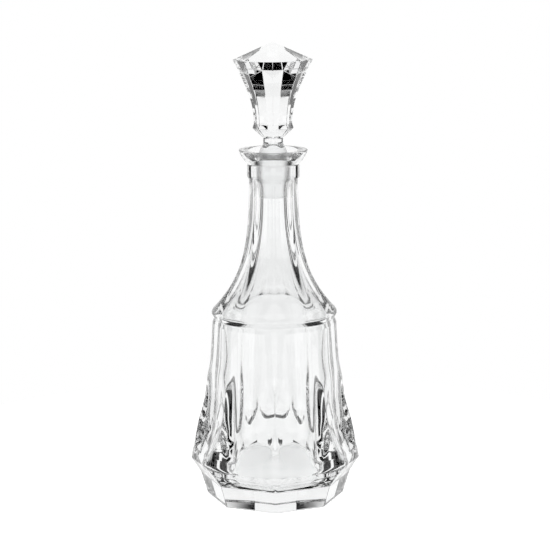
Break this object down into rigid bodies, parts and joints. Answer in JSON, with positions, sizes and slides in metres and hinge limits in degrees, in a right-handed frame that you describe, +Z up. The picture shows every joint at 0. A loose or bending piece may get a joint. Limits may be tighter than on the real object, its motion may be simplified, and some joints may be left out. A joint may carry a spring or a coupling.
{
  "type": "cut crystal decanter",
  "caption": "Eight-sided cut crystal decanter with a trumpet neck, a pouring lip, round olive cuts and a lift-out faceted ground stopper.",
  "frame": {"origin": "centre of the flat base, on the surface that the decanter stands on", "axes": "+Z up along the decanter's axis, -Y towards the front ridge of the octagon, +X to the right-hand ridge"},
  "size_m": [0.1396, 0.1396, 0.375],
  "materials": {
    "body_crystal": "polished clear crystal, inside of the neck ground matt",
    "stopper_crystal": "polished clear crystal, plug ground matt"
  },
  "bodies": {
    "vessel": {"decanter_body": "body_crystal"},
    "stopper": {"stopper": "stopper_crystal"}
  },
  "joints": [
    {"name": "stopper_lift", "type": "slide", "parent": "vessel", "child": "stopper", "axis": [0, 0, 1], "range_m": [0, 0.06]}
  ]
}
